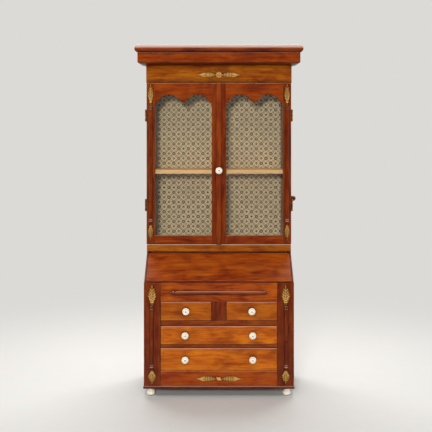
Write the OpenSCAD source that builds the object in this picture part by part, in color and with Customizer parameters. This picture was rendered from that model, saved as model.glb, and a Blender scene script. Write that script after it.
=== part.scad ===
// Miniature bureau bookcase used as a thimble display case: a slant-front desk with four drawers
// and a glazed two-door case on top. The object rests on its feet at z = 0, is centred in x and y,
// and faces -y. All lengths are in millimetres.

/* [Overall] */
// Width across the corner posts of the desk
case_w = 168.8; // [156:0.2:184]
// Depth of the desk from the face of the posts to the back
desk_depth = 86; // [80:0.5:104]
// Depth of the upper case with its doors
book_depth = 48; // [44:0.5:56]
// Running gap between a moving piece and its neighbours
gap = 0.3; // [0.2:0.05:0.4]

/* [Heights from the floor up] */
// Height of the bone feet
foot_h = 8.8; // [7:0.1:12]
// Height of the base moulding
base_h = 3.4; // [3:0.1:5]
// Height of the rail under the long drawers
bottom_rail_h = 16.5; // [14:0.1:20]
// Height of the opening for the lower long drawer
low_drawer_h = 26.4; // [22:0.1:32]
// Height of the rail between the long drawers
low_rail_h = 3.3; // [3:0.1:5]
// Height of the opening for the upper long drawer
mid_drawer_h = 21.5; // [18:0.1:27]
// Height of the rail under the small drawers
mid_rail_h = 5.4; // [4:0.1:8]
// Height of the openings for the small drawers
top_drawer_h = 22; // [18:0.1:27]
// Height of the rail that carries the split spindle
top_rail_h = 21; // [17:0.1:26]
// Height from the top rail to the waist board, which the slope closes
slope_h = 29.3; // [26:0.1:38]
// Thickness of the waist board
waist_h = 8.6; // [6:0.1:10]
// Height of the front that the doors cover
door_zone_h = 188.4; // [170:0.2:210]
// Height of the frieze that shows above the doors
frieze_h = 20.4; // [16:0.1:26]
// Height of the coved soffit under the cornice
soffit_h = 4.4; // [3.2:0.1:6]
// Height of the flat band of the cornice
band_h = 10.3; // [8:0.1:13]
// Thickness of the cap board with its half-round edge
cap_h = 8.8; // [6:0.1:11]

/* [Desk] */
// Thickness of the desk sides
side_t = 4.5; // [4:0.1:6]
// Thickness of the desk back and the bookcase back
back_t = 3; // [2:0.1:4]
// Thickness of the boards between the drawers
dust_t = 2.4; // [2:0.1:3]
// Width of the corner posts
post_w = 18.5; // [15:0.1:22]
// Thickness of the corner posts
post_t = 4; // [3.4:0.1:6]
// Set-back of the rails behind the posts
rail_set = 0.6; // [0.2:0.1:1]
// Width of the block between the small drawers
block_w = 16.5; // [12:0.1:20]
// Height of the drawer guides beside the drawers
guide_h = 8; // [5:0.5:12]
// Overhang of the base moulding
base_over = 0.8; // [0.4:0.1:1.6]
// Width of the base moulding under the sides
base_w = 13; // [11:0.5:16]
// Diameter of the feet
foot_d = 9.6; // [8:0.1:11]
// Distance from the post face to the centre of a foot
foot_in = 7.5; // [6.5:0.1:10]

/* [Fall front] */
// Thickness of the fall front
lid_t = 3.2; // [2.8:0.1:4]
// Width of the side edge left showing beside the fall front
lip_w = 2; // [1.6:0.1:2.4]
// Gap between the top of the fall front and the waist board
lid_gap = 1.7; // [1.2:0.1:2.4]
// Depth of the strip behind the top of the fall front
stop_d = 8; // [6:0.5:10]
// Height of the strip behind the top of the fall front
stop_h = 9; // [7:0.5:12]
// Diameter of the pins that the fall front turns on
lid_pin_d = 1.2; // [1:0.1:1.4]
// Length of the pins inside the fall front
lid_pin_in = 4; // [3:0.5:6]

/* [Drawers] */
// Set-back of the drawer fronts behind the posts
front_set = 0.8; // [0.4:0.1:1.4]
// Thickness of the drawer fronts
front_t = 4.6; // [4:0.1:6]
// Radius of the upper edge of the waist board and of the drawer fronts
ease_r = 1.4; // [0.6:0.1:2]
// Thickness of the drawer sides
drawer_side_t = 2.4; // [2:0.1:3]
// Thickness of the drawer bottoms
drawer_bottom_t = 1.6; // [1.2:0.1:2.4]
// Height that the drawer sides stay below the front
side_drop = 2; // [1:0.1:4]
// Distance of the knobs on the long drawers from the centre
long_knob_x = 38; // [30:0.5:46]
// Projection of the bone knobs
knob_out = 6.5; // [5.5:0.1:8]
// Diameter of the bone knobs
knob_d = 8; // [7:0.1:9]
// Diameter of the peg that holds a knob
spigot_d = 2.2; // [2:0.1:2.6]
// Length of the peg that holds a knob
spigot_l = 3.4; // [2.4:0.1:3.8]
// Radial clearance round a fixed peg or a hinge pin
pin_fit = 0.05; // [0.03:0.01:0.08]

/* [Upper case] */
// Thickness of the bookcase sides
book_side_t = 9.2; // [7:0.1:11]
// Thickness of the bookcase floor and ceiling
book_board_t = 4; // [3:0.1:5]
// Thickness of the shelf
shelf_t = 4.7; // [3.6:0.1:6]
// Height of the shelf above the waist board
shelf_up = 81.8; // [60:0.2:110]
// Distance of the shelf behind the edge of the sides
shelf_set = 0.7; // [0.4:0.1:2]
// Width of the cleats under the shelf
cleat_w = 2.4; // [2:0.1:4]
// Height of the cleats under the shelf
cleat_h = 4.8; // [3:0.1:7]
// Thickness of the lining paper
paper_t = 0.4; // [0.3:0.1:0.8]
// Thickness of the frieze board
frieze_t = 4.5; // [3.5:0.1:6]
// Distance that the frieze stands out beyond the sides
frieze_over = 1; // [0.6:0.1:1.4]
// Projection of the cornice band from the frieze
band_out = 9.5; // [7:0.1:12]
// Projection of the cap board from the frieze
cap_out = 12.8; // [11:0.1:15]
// Height of the wooden peg on the right side above the waist board
peg_up = 52.2; // [44:0.2:70]
// Projection of the wooden peg
peg_out = 6.6; // [5:0.1:8]
// Diameter of the wooden peg
peg_d = 6; // [5:0.1:7]

/* [Doors] */
// Thickness of the door frames
door_t = 4.5; // [4:0.1:6]
// Width of the outer stiles
stile_w = 9.7; // [8:0.1:12]
// Width of the right door's inner stile left of the centre line
meet_w = 3; // [2.2:0.1:4]
// Distance from the centre line to the edge of a pane
pane_in = 8.35; // [7.4:0.05:9.6]
// Height of the bottom rails
door_rail_h = 9.9; // [8:0.1:13]
// Depth of the top rails from the frieze board to the tops of the arches
arch_down = 14; // [11:0.2:24]
// Radius of the arches
arch_r = 15; // [14.4:0.1:16]
// Distance of each arch's centre from the middle of the pane
arch_dx = 16.6; // [16.2:0.1:17.4]
// Depth of the shoulders below the top of the arches
arch_drop = 10; // [8.4:0.1:11]
// Thickness of the glass
glass_t = 1.2; // [1:0.1:1.5]
// Width that the glass enters the frame
rebate_w = 2; // [1.5:0.1:2.4]
// Projection of the half-round astragal
astragal_out = 2.2; // [1.6:0.1:2.6]
// Height of the knob above the waist board
door_knob_up = 86.1; // [70:0.2:110]
// Distance of the upper hinges below the frieze board
hinge_down = 38.3; // [32:0.1:58]
// Height of the lower hinges above the waist board
hinge_lo = 45.2; // [30:0.2:60]
// Length of the hinges
hinge_l = 14; // [11:0.5:18]
// Diameter of the hinge knuckles
knuckle_d = 2.2; // [2:0.1:2.6]
// Diameter of the hinge pins
hinge_pin_d = 1; // [0.8:0.1:1.2]
// Width of the hinge leaves
leaf_w = 7.6; // [6:0.2:8.4]
// Thickness of the hinge leaves
leaf_t = 0.6; // [0.4:0.1:0.8]

/* [Ornament] */
// Diameter of the half columns on the posts
post_col_d = 4.8; // [4:0.1:6]
// Diameter of the half columns on the doors
door_col_d = 5.2; // [4:0.1:6]
// Length of the leaves at the top of the posts
post_leaf_top_l = 24; // [20:0.2:28]
// Distance of the upper leaves below the tops of the posts
leaf_down = 2.2; // [1:0.1:6]
// Length of the leaves at the foot of the posts
post_leaf_low_l = 16.4; // [14:0.2:20]
// Width of the leaves on the posts
post_leaf_w = 9.6; // [8:0.1:12]
// Length of the leaves at the top of the doors
door_leaf_top_l = 27; // [22:0.2:32]
// Length of the leaves at the foot of the doors
door_leaf_low_l = 20.6; // [16:0.2:26]
// Width of the leaves on the doors
door_leaf_w = 6.4; // [5:0.1:8]
// Thickness of the gilt leaves
leaf_out = 2.4; // [1.6:0.1:3]
// Length of the split spindle
spindle_l = 113.6; // [90:0.2:126]
// Height of the split spindle above the small drawers
spindle_up = 9.3; // [6:0.1:13]
// Diameter of the split spindle
spindle_d = 4.6; // [3.6:0.1:6]
// Length of each bud beside a rosette
bud_l = 21.6; // [15:0.2:26]
// Height of each bud beside a rosette
bud_w = 8.6; // [7:0.1:10]
// Diameter of the rosettes
rosette_d = 7.9; // [6:0.1:9]

/* [Hidden] */
$fn = 48;

// Colours of the woods and fittings
mahogany = "#7a2e10";
dark_wood = "#571d0d";
orange_wood = "#c06a14";
golden_wood = "#9a5510";
raw_wood = "#eebd8c";
gilt = "#c09448";
bone = "#fff6e6";
brass = "#b08a3c";

// Half widths
hw = case_w / 2;
side_x = hw - 0.4;
bay_x = hw - post_w;
inner_x = side_x - side_t;
lid_x = side_x - lip_w - gap;
book_x = hw - 0.2;
book_in = book_x - book_side_t;
frieze_x = book_x + frieze_over;
// Centre of the small drawers
small_x = (block_w / 2 + bay_x) / 2;

// Depths: fy is the face of the posts, by the back
fy = -(desk_depth - knob_out + front_set) / 2;
by = fy + desk_depth;
rail_y = fy + rail_set;
bay_y = fy + post_t;
back_y = by - back_t;
door_y = fy + desk_depth - book_depth;
door_by = door_y + door_t;
book_y = door_by + gap;
frieze_y = door_by;
frieze_by = frieze_y + frieze_t;

// Levels from the floor up
z_base = foot_h;
z_rail = z_base + base_h;
z_low = z_rail + bottom_rail_h;
z_low_t = z_low + low_drawer_h;
z_mid = z_low_t + low_rail_h;
z_mid_t = z_mid + mid_drawer_h;
z_top = z_mid_t + mid_rail_h;
z_top_t = z_top + top_drawer_h;
z_desk = z_top_t + top_rail_h;
z_waist = z_desk + slope_h;
z_book = z_waist + waist_h;
z_frieze = z_book + door_zone_h;
z_soffit = z_frieze + frieze_h;
z_band = z_soffit + soffit_h;
z_cap = z_band + band_h;
z_end = z_cap + cap_h;

// Fall front: it turns about (pivot_y, pivot_z) and slopes up to its top edge
lid_r = lid_t / 2;
pivot_y = fy + 0.4 + lid_r;
pivot_z = z_desk + gap + lid_r;
lid_top_y = door_y;
lid_top_z = z_waist - lid_gap;
run = lid_top_y - pivot_y;
rise = lid_top_z - pivot_z;
reach = sqrt(run * run + rise * rise);
lid_a = atan2(rise, run) - asin(lid_r / reach);
lid_len = sqrt(reach * reach - lid_r * lid_r);

// Doors
door_z = z_book + gap;
door_zt = z_frieze - 0.4;
pane_out = hw - stile_w;
pane_mid = (pane_in + pane_out) / 2;
pane_z = door_z + door_rail_h;
arch_z = z_frieze - arch_down;
shoulder_z = arch_z - arch_drop;
col_x = hw - 4.8;
hinge_x = hw + knuckle_d / 2 + 0.1;
hinge_hi = door_zone_h - hinge_down;
hinge_y = door_by + gap / 2;
rebate_d = glass_t + gap;

// Parts of the posts
post_col_x = hw - 8.8;
post_leaf_top = z_desk - leaf_down;
post_leaf_low = z_rail + 2.6;

// A board between two corners
module board(x0, x1, y0, y1, z0, z1) {
    translate([x0, y0, z0])
        cube([x1 - x0, y1 - y0, z1 - z0]);
}

// A profile drawn in (y, z) and run along x
module along_x(x0, x1) {
    translate([x0, 0, 0])
        rotate([90, 0, 90])
            linear_extrude(height = x1 - x0)
                children();
}

// A board along x between two corners, its upper front edge rounded
module eased_board(x0, x1, y0, y1, z0, z1) {
    along_x(x0, x1)
        translate([y0, z0]) {
            square([y1 - y0, z1 - z0 - ease_r]);
            translate([ease_r, 0])
                square([y1 - y0 - ease_r, z1 - z0]);
            translate([ease_r, z1 - z0 - ease_r])
                circle(r = ease_r);
        }
}

// A profile drawn in (x, z) and run along y
module along_y(y0, y1) {
    translate([0, y1, 0])
        rotate([90, 0, 0])
            linear_extrude(height = y1 - y0)
                children();
}

// A piece and its mirror image on the other side
module both_sides() {
    children();
    mirror([1, 0, 0])
        children();
}

// What lies in front of the plane y, for turnings that are split down their length
module front_half(y) {
    intersection() {
        children();
        board(-case_w, case_w, y - case_w, y, -case_w, z_end + case_w);
    }
}

// The slope of the fall front: children drawn as (along the slope, out of it) from the pivot
module on_slope(x0, x1) {
    translate([0, pivot_y, pivot_z])
        rotate([lid_a, 0, 0])
            along_x(x0, x1)
                children();
}

// Outline of a desk side, with its sloping front edge
module desk_side_outline() {
    polygon([
        [bay_y, z_rail],
        [bay_y, z_desk],
        [fy + 0.4, z_desk],
        [fy + 0.4, pivot_z],
        [pivot_y - lid_r * sin(lid_a), pivot_z + lid_r * cos(lid_a)],
        [lid_top_y, lid_top_z],
        [lid_top_y, z_waist],
        [by, z_waist],
        [by, z_rail]
    ]);
}

// The desk sides, rebated behind their outer lip so that the fall front beds between the lips
module desk_sides() {
    seat = lid_r + gap;
    color(dark_wood)
        both_sides()
            difference() {
                along_x(inner_x, side_x)
                    desk_side_outline();
                on_slope(inner_x - 1, side_x - lip_w)
                    translate([-seat, -seat])
                        square([1.3 * lid_len, slope_h]);
                board(inner_x - 1, side_x - lip_w, fy - 1, pivot_y, z_desk, z_waist);
                translate([inner_x - 1, pivot_y, pivot_z])
                    rotate([0, 90, 0])
                        cylinder(h = side_t + 2, d = lid_pin_d + 2 * pin_fit);
            }
}

// The desk back, let in between the sides
module desk_back() {
    color(mahogany)
        board(-inner_x, inner_x, back_y, by, z_rail, z_waist);
}

// The bottom board of the desk
module desk_bottom() {
    color(mahogany)
        board(-inner_x, inner_x, bay_y, back_y, z_rail, z_rail + 3);
}

// A board with a half-round edge at the front and at both ends, flush at the back: it reaches from
// -x to x and from the front edge y to the back
module nosed_board(x, y, z, h) {
    r = h / 2;
    translate([0, 0, z])
        intersection() {
            along_y(y, by) {
                translate([r - x, 0])
                    square([2 * x - h, h]);
                for (s = [-1, 1])
                    translate([s * (x - r), r])
                        circle(r = r);
            }
            along_x(-x, x) {
                translate([y + r, 0])
                    square([by - y - r, h]);
                translate([y + r, r])
                    circle(r = r);
            }
        }
}

// The base moulding: a front length and two side lengths with mitred corners
module base_moulding() {
    x = hw + base_over;
    y = fy - base_over;
    color(mahogany)
        difference() {
            nosed_board(x, y, z_base, base_h);
            board(base_w - x, x - base_w, y + base_w, by + 1, z_base - 1, z_rail + 1);
        }
}

// One turned bone foot, flat where it stands and where it meets the base moulding
module foot() {
    r = foot_d / 2;
    rotate_extrude()
        intersection() {
            union() {
                translate([r - foot_h * 0.42, foot_h * 0.46])
                    circle(r = foot_h * 0.42);
                square([r - foot_h * 0.42, foot_h * 0.88]);
                square([r * 0.72, foot_h]);
            }
            square([r + 1, foot_h]);
        }
}

// The four bone feet
module feet() {
    x = hw - foot_in;
    color(bone)
        for (y = [fy + foot_in, by - foot_in])
            both_sides()
                translate([x, y, 0])
                    foot();
}

// The corner posts, planted on the front edges of the sides
module corner_posts() {
    color(dark_wood)
        both_sides()
            board(bay_x, hw, fy, bay_y, z_rail, z_desk);
}

// The rail under the long drawers
module bottom_rail() {
    color(mahogany)
        board(-bay_x, bay_x, rail_y, bay_y, z_rail, z_low);
}

// The two rails between the drawers
module drawer_rails() {
    color(mahogany) {
        board(-bay_x, bay_x, rail_y, bay_y, z_low_t, z_mid);
        board(-bay_x, bay_x, rail_y, bay_y, z_mid_t, z_top);
    }
}

// The boards that the drawers run on
module dustboards() {
    color(mahogany)
        for (z = [z_low, z_mid, z_top])
            board(-inner_x, inner_x, bay_y, back_y, z - dust_t, z);
}

// The strips that guide the drawers behind the posts
module drawer_guides() {
    color(mahogany)
        for (z = [z_low, z_mid, z_top])
            both_sides()
                board(bay_x, inner_x, bay_y, back_y, z, z + guide_h);
}

// The block between the small drawers, with its guide strip running back
module centre_divider() {
    color(dark_wood) {
        board(-block_w / 2, block_w / 2, rail_y, bay_y, z_top, z_top_t);
        board(-block_w / 2, block_w / 2, bay_y, back_y, z_top, z_top + guide_h);
    }
}

// The rail that carries the split spindle
module top_rail() {
    color(orange_wood)
        board(-bay_x, bay_x, rail_y, bay_y, z_top_t, z_desk);
}

// The split spindle: half of a long turning with collars and pointed ends
module split_spindle() {
    r = spindle_d / 2;
    half = spindle_l / 2;
    collar = half - 6.2;
    color(mahogany)
        front_half(rail_y)
            translate([0, rail_y, z_top_t + spindle_up])
                rotate([0, 90, 0])
                    rotate_extrude()
                        polygon([
                            [0, -half],
                            [r * 0.55, -collar - 2.2],
                            [r, -collar - 1.4],
                            [r, -collar + 0.4],
                            [r * 0.62, -collar + 0.8],
                            [r * 0.86, -collar + 3],
                            [r * 0.92, 0],
                            [r * 0.86, collar - 3],
                            [r * 0.62, collar - 0.8],
                            [r, collar - 0.4],
                            [r, collar + 1.4],
                            [r * 0.55, collar + 2.2],
                            [0, half]
                        ]);
}

// The floor of the desk, over the small drawers
module desk_floor() {
    color(mahogany)
        board(-inner_x, inner_x, bay_y, back_y, z_top_t, z_top_t + dust_t);
}

// The strip under the waist board that the top of the fall front closes against
module lid_stop() {
    seat = lid_r + gap;
    color(mahogany)
        difference() {
            board(-inner_x, inner_x, lid_top_y + 0.8, lid_top_y + stop_d, z_waist - stop_h,
                z_waist);
            on_slope(-side_x, side_x)
                translate([0, -seat])
                    square([lid_len + gap, slope_h]);
        }
}

// The two pins that the fall front turns on
module lid_pins() {
    x0 = lid_x - lid_pin_in;
    color(brass)
        both_sides()
            translate([x0, pivot_y, pivot_z])
                rotate([0, 90, 0])
                    cylinder(h = side_x - x0, d = lid_pin_d);
}

// The fall front: one board with a rounded lower edge about its pins
module lid() {
    color(orange_wood)
        difference() {
            on_slope(-lid_x, lid_x) {
                translate([0, -lid_r])
                    square([lid_len, lid_t]);
                circle(r = lid_r);
            }
            both_sides()
                translate([lid_x - lid_pin_in - gap, pivot_y, pivot_z])
                    rotate([0, 90, 0])
                        cylinder(h = lid_pin_in + 1, d = lid_pin_d + 2 * pin_fit);
        }
}

// The waist board, with a rounded upper arris, that the upper case stands on
module waist_board() {
    color(golden_wood)
        eased_board(-side_x, side_x, door_y - 0.4, by, z_waist, z_book);
}

// Half of a turned column with a collar at each end, standing on the plane y
module half_column(x, y, z0, z1, d) {
    r = d / 2;
    front_half(y)
        translate([x, y, z0])
            rotate_extrude()
                union() {
                    square([r * 0.86, z1 - z0]);
                    square([r, 2.4]);
                    translate([0, z1 - z0 - 2.4])
                        square([r, 2.4]);
                    translate([0, 3.2])
                        square([r * 0.95, 1]);
                    translate([0, z1 - z0 - 4.2])
                        square([r * 0.95, 1]);
                }
}

// The half columns on the posts
module post_columns() {
    color(dark_wood)
        both_sides()
            half_column(post_col_x, fy, post_leaf_low + post_leaf_low_l,
                post_leaf_top - post_leaf_top_l, post_col_d);
}

// A lens of two arcs, standing on its point at the origin
module lens(len, wid) {
    r = (len * len + wid * wid) / (4 * wid);
    translate([0, len / 2])
        intersection() {
            translate([r - wid / 2, 0])
                circle(r = r, $fn = 96);
            translate([wid / 2 - r, 0])
                circle(r = r, $fn = 96);
        }
}

// A carved leaf or bud on the plane y = 0, growing up from the origin: a domed lens whose edge is
// cut into lobes along both sides of a raised midrib
module carved_leaf(len, wid, out) {
    lobes = 5;
    step = len * 0.78 / lobes;
    round_r = wid / 2 + 0.3;
    difference() {
        intersection() {
            translate([0, round_r - out, 0])
                rotate_extrude()
                    intersection() {
                        lens(len, 2 * round_r);
                        square([round_r, len]);
                    }
            along_y(-out, 0)
                lens(len, wid);
        }
        for (i = [0 : lobes - 1])
            both_sides()
                translate([wid * 0.09, -out - 1, len * 0.08 + i * step])
                    rotate([0, 52, 0])
                        cube([wid, out + 0.4, 0.7]);
    }
}

// The carved leaves above and below the half columns of the posts
module post_leaves() {
    color(gilt)
        both_sides() {
            translate([post_col_x, fy, post_leaf_top - post_leaf_top_l])
                carved_leaf(post_leaf_top_l, post_leaf_w, leaf_out);
            translate([post_col_x, fy, post_leaf_low + post_leaf_low_l])
                rotate([0, 180, 0])
                    carved_leaf(post_leaf_low_l, post_leaf_w * 0.94, leaf_out);
        }
}

// A rosette between two carved buds, on the plane y and centred at height z
module rosette_group(y, z) {
    petal_r = rosette_d * 0.17;
    ring_r = rosette_d / 2 - petal_r;
    translate([0, y, z]) {
        both_sides()
            translate([rosette_d / 2 + 0.4, 0, 0])
                rotate([0, 90, 0])
                    carved_leaf(bud_l, bud_w, leaf_out * 0.8);
        front_half(0)
            union() {
                for (i = [0 : 7])
                    rotate([0, i * 45, 0])
                        translate([ring_r, 0, 0])
                            sphere(r = petal_r);
                rotate([90, 0, 0])
                    cylinder(h = petal_r, r = ring_r);
                translate([0, -petal_r, 0])
                    sphere(r = petal_r * 0.8);
            }
    }
}

// The carved groups on the frieze and on the bottom rail
module rosette_ornaments() {
    color(gilt) {
        rosette_group(frieze_y, (z_frieze + z_soffit) / 2 - 0.6);
        rosette_group(rail_y, (z_rail + z_low) / 2 - 0.6);
    }
}

// One recess for a hinge leaf at height z, into the plane y, dir = 1 behind it or -1 before it
module leaf_recess(y, z, dir) {
    y0 = dir > 0 ? y - 1 : y - leaf_t;
    translate([hw - 0.1 - leaf_w, y0, z])
        cube([leaf_w + 3, leaf_t + 1, hinge_l]);
}

// The sides of the upper case, cut back above the doors for the frieze board
module bookcase_sides() {
    color(mahogany)
        both_sides()
            difference() {
                union() {
                    board(book_in, book_x, book_y, by, z_book, z_frieze);
                    board(book_in, book_x, frieze_by, by, z_frieze, z_cap);
                }
                leaf_recess(book_y, z_book + hinge_lo - hinge_l / 2, 1);
                leaf_recess(book_y, z_book + hinge_hi - hinge_l / 2, 1);
            }
}

// The floor and the ceiling of the upper case
module bookcase_boards() {
    color(mahogany) {
        board(-book_in, book_in, book_y, back_y, z_book, z_book + book_board_t);
        board(-book_in, book_in, book_y, back_y, z_frieze - book_board_t, z_frieze);
    }
}

// The back of the upper case
module bookcase_back() {
    color(mahogany)
        board(-book_in, book_in, back_y, by, z_book, z_cap);
}

// The sheets of lining paper above and below the shelf
module lining_paper() {
    z_shelf = z_book + shelf_up;
    color("#b8a483") {
        board(-book_in, book_in, back_y - paper_t, back_y, z_book + book_board_t, z_shelf);
        board(-book_in, book_in, back_y - paper_t, back_y, z_shelf + shelf_t,
            z_frieze - book_board_t);
    }
}

// The shelf, with its raw front edge
module shelf() {
    z = z_book + shelf_up;
    color(raw_wood)
        board(-book_in, book_in, book_y + shelf_set, back_y, z, z + shelf_t);
}

// The two cleats that carry the shelf
module shelf_cleats() {
    z = z_book + shelf_up;
    color(mahogany)
        both_sides()
            board(book_in - cleat_w, book_in, book_y + shelf_set, back_y - paper_t, z - cleat_h, z);
}

// The frieze board, planted across the front above the doors
module frieze_board() {
    color(golden_wood)
        board(-frieze_x, frieze_x, frieze_y, frieze_by, z_frieze, z_cap);
}

// Section of the cornice band from its inner side: a flat band over a rounded, coved soffit
module band_profile(w) {
    r = soffit_h * 0.55;
    translate([0, soffit_h])
        square([w, band_h]);
    translate([w - r, soffit_h])
        circle(r = r);
    polygon([[0, 0], [w - r, soffit_h - r], [w - r, soffit_h + 1], [0, soffit_h + 1]]);
}

// The cornice band: three lengths, mitred at the front corners
module cornice_band() {
    x = frieze_x + band_out;
    y = frieze_y - band_out;
    color(mahogany)
        difference() {
            translate([0, 0, z_soffit])
                intersection() {
                    along_y(y, by) {
                        for (s = [0, 1])
                            mirror([s, 0])
                                translate([frieze_x, 0])
                                    band_profile(band_out);
                        translate([-frieze_x, 0])
                            square([2 * frieze_x, soffit_h + band_h]);
                    }
                    along_x(-x, x) {
                        translate([frieze_y, 0])
                            mirror([1, 0])
                                band_profile(band_out);
                        translate([frieze_y, 0])
                            square([by - frieze_y, soffit_h + band_h]);
                    }
                }
            board(-frieze_x, frieze_x, frieze_y, frieze_by, z_soffit - 1, z_cap + 1);
            board(-book_x, book_x, frieze_by, by + 1, z_soffit - 1, z_cap + 1);
        }
}

// The cap board of the cornice
module cornice_cap() {
    color(mahogany)
        nosed_board(frieze_x + cap_out, frieze_y - cap_out, z_cap, cap_h);
}

// The small turned peg on the right side, with a round head
module side_peg() {
    r = peg_d / 2;
    color(dark_wood)
        translate([book_x, book_y + 9, z_book + peg_up])
            rotate([0, 90, 0])
                rotate_extrude()
                    union() {
                        square([r * 0.8, peg_out - r]);
                        translate([0, 1.2])
                            square([r, peg_out - r - 1.2]);
                        intersection() {
                            translate([0, peg_out - r])
                                circle(r = r);
                            square([r, peg_out]);
                        }
                    }
}

// The half of a hinge at height z that is fixed to the right side of the case, with its pin
module case_leaf(z) {
    end_l = (hinge_l - 5) / 2;
    z0 = z_book + z - hinge_l / 2;
    board(hw - 0.1 - leaf_w, hw - 0.1, book_y, book_y + leaf_t, z0, z0 + hinge_l);
    for (zz = [z0, z0 + hinge_l - end_l]) {
        board(hw - 1, hinge_x, book_y, book_y + leaf_t, zz, zz + end_l);
        translate([hinge_x, hinge_y, zz])
            cylinder(h = end_l, d = knuckle_d);
    }
    translate([hinge_x, hinge_y, z0])
        cylinder(h = hinge_l, d = hinge_pin_d);
}

// The hinge leaves, knuckles and pins fixed to the case, two a side
module case_hinge_leaves() {
    color(brass)
        both_sides() {
            case_leaf(hinge_hi);
            case_leaf(hinge_lo);
        }
}

// The half of a hinge at height z that is fixed to the right door
module door_leaf(z) {
    end_l = (hinge_l - 5) / 2;
    z0 = z_book + z - hinge_l / 2;
    difference() {
        union() {
            board(hw - 0.1 - leaf_w, hw - 0.1, door_by - leaf_t, door_by, z0, z0 + hinge_l);
            board(hw - 1, hinge_x, door_by - leaf_t, door_by, z0 + end_l + gap,
                z0 + hinge_l - end_l - gap);
            translate([hinge_x, hinge_y, z0 + end_l + gap])
                cylinder(h = 5 - 2 * gap, d = knuckle_d);
        }
        translate([hinge_x, hinge_y, z0 - 1])
            cylinder(h = hinge_l + 2, d = hinge_pin_d + 2 * pin_fit);
    }
}

// Cuts shared by both stiles and the rails: the rebate for the glass, on the right door
module glass_rebate() {
    board(pane_in - rebate_w, pane_out + rebate_w, door_by - rebate_d, door_by + 1,
        pane_z - rebate_w, arch_z + rebate_w);
}

// The stiles of the right door, with the inner stile starting at x0
module stiles(x0) {
    difference() {
        union() {
            board(x0, pane_in, door_y, door_by, door_z, door_zt);
            board(pane_out, hw, door_y, door_by, door_z, door_zt);
        }
        glass_rebate();
        leaf_recess(door_by, z_book + hinge_lo - hinge_l / 2, -1);
        leaf_recess(door_by, z_book + hinge_hi - hinge_l / 2, -1);
    }
}

// Outline of the scalloped top rail: two arches with a rounded cusp between them
module arched_rail() {
    cusp_r = arch_dx - arch_r * 0.913;
    notch = shoulder_z + 3.4;
    difference() {
        translate([pane_in, shoulder_z])
            square([pane_out - pane_in, door_zt - shoulder_z]);
        for (s = [-1, 1])
            translate([pane_mid + s * arch_dx, arch_z - arch_r])
                circle(r = arch_r);
        translate([pane_mid - arch_dx / 2, shoulder_z - 1])
            square([arch_dx, notch - shoulder_z + 1]);
    }
    translate([pane_mid, shoulder_z + 0.8 + cusp_r])
        circle(r = cusp_r);
}

// The rails of a door: a plain bottom rail and a scalloped top rail
module rails() {
    difference() {
        union() {
            board(pane_in, pane_out, door_y, door_by, door_z, pane_z);
            along_y(door_y, door_by)
                arched_rail();
        }
        glass_rebate();
    }
}

// The pane of glass, bedded in the rebate
module pane() {
    edge = rebate_w - 0.1;
    board(pane_in - edge, pane_out + edge, door_by - rebate_d, door_by - rebate_d + glass_t,
        pane_z - edge, arch_z + edge);
}

// The half column between the leaves of a door
module door_column() {
    half_column(col_x, door_y, door_z + 3.8 + door_leaf_low_l, door_zt - door_leaf_top_l,
        door_col_d);
}

// The carved leaves at the ends of a door's half column
module door_leaves() {
    translate([col_x, door_y, door_zt - door_leaf_top_l])
        carved_leaf(door_leaf_top_l, door_leaf_w, leaf_out);
    translate([col_x, door_y, door_z + 3.8 + door_leaf_low_l])
        rotate([0, 180, 0])
            carved_leaf(door_leaf_low_l, door_leaf_w * 1.04, leaf_out);
}

// The stiles of the left door
module left_door_stiles() {
    color(mahogany)
        mirror([1, 0, 0])
            stiles(meet_w + gap);
}

// The rails of the left door
module left_door_rails() {
    color(mahogany)
        mirror([1, 0, 0])
            rails();
}

// The glass of the left door
module left_door_glass() {
    color("#dfe8e4", 0.3)
        mirror([1, 0, 0])
            pane();
}

// The half column of the left door
module left_door_column() {
    color(dark_wood)
        mirror([1, 0, 0])
            door_column();
}

// The carved leaves of the left door
module left_door_leaves() {
    color(gilt)
        mirror([1, 0, 0])
            door_leaves();
}

// The hinge leaves fixed to the left door
module left_door_hinges() {
    color(brass)
        mirror([1, 0, 0]) {
            door_leaf(hinge_hi);
            door_leaf(hinge_lo);
        }
}

// The stiles of the right door, whose inner stile carries the astragal
module right_door_stiles() {
    color(mahogany)
        stiles(-meet_w);
}

// The rails of the right door
module right_door_rails() {
    color(mahogany)
        rails();
}

// The glass of the right door
module right_door_glass() {
    color("#dfe8e4", 0.3)
        pane();
}

// The half column of the right door
module right_door_column() {
    color(dark_wood)
        door_column();
}

// The carved leaves of the right door
module right_door_leaves() {
    color(gilt)
        door_leaves();
}

// The hinge leaves fixed to the right door
module right_door_hinges() {
    color(brass) {
        door_leaf(hinge_hi);
        door_leaf(hinge_lo);
    }
}

// The rounded astragal along the meeting edge of the right door, bored for the knob
module astragal() {
    half = meet_w + 0.1;
    r = (half * half + astragal_out * astragal_out) / (2 * astragal_out);
    color(mahogany)
        difference() {
            translate([half - meet_w, 0, door_z])
                linear_extrude(height = door_zt - door_z)
                    intersection() {
                        translate([0, door_y + r - astragal_out])
                            circle(r = r);
                        translate([-half, door_y - astragal_out])
                            square([2 * half, astragal_out]);
                    }
            knob_bore(half - meet_w, door_y, z_book + door_knob_up);
        }
}

// The bore for a knob's peg, from the plane y at (x, z)
module knob_bore(x, y, z) {
    translate([x, y + spigot_l, z])
        rotate([90, 0, 0])
            cylinder(h = spigot_l + 5, d = spigot_d + 2 * pin_fit);
}

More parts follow.
